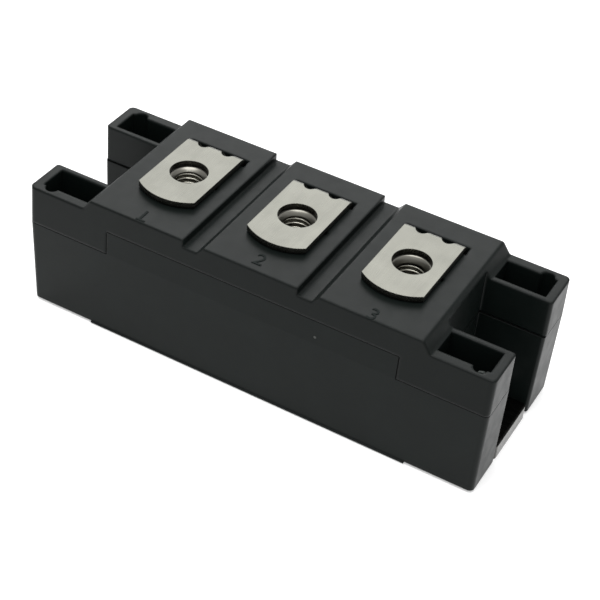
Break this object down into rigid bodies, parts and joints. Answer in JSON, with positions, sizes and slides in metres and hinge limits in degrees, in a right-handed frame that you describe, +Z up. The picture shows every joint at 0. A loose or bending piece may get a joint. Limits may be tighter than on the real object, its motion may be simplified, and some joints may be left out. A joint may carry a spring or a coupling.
{
  "type": "diode module",
  "caption": "Isolated power diode module: stepped plastic housing with screw terminals on top, open channels at the ends and a metal base plate with mounting holes.",
  "frame": {"origin": "middle of the base plate's underside", "axes": "+X along the module from terminal one to terminal three, +Y away from the numbered long side, +Z up out of the terminals"},
  "size_m": [0.094, 0.0336, 0.03],
  "materials": {
    "plate_metal": "nickel plated copper, dull",
    "lower_plastic": "glass filled moulding, fine matt texture",
    "upper_plastic": "glass filled moulding, fine matt texture",
    "terminal_metal": "nickel plated, satin",
    "nut_metal": "zinc plated, satin",
    "solder": "tin solder, satin",
    "copper": "bare copper, satin",
    "ceramic": "aluminium oxide, matt white",
    "silicon": "polished silicon",
    "gel": "clear silicone gel",
    "resin": "cast resin, dull black"
  },
  "bodies": {
    "root": {"base_plate": "plate_metal", "housing_frame": "lower_plastic", "cover": "upper_plastic", "terminal_1": "terminal_metal", "terminal_2": "terminal_metal", "terminal_3": "terminal_metal", "terminal_nut_1": "nut_metal", "terminal_nut_2": "nut_metal", "terminal_nut_3": "nut_metal", "carrier_solder": "solder", "backing_copper": "copper", "ceramic_carrier": "ceramic", "copper_track_1": "copper", "copper_track_2": "copper", "copper_track_3": "copper", "chip_solder_1": "solder", "chip_solder_2": "solder", "diode_chip_1": "silicon", "diode_chip_2": "silicon", "chip_bridge": "copper", "gel_fill": "gel", "potting": "resin"}
  },
  "joints": []
}
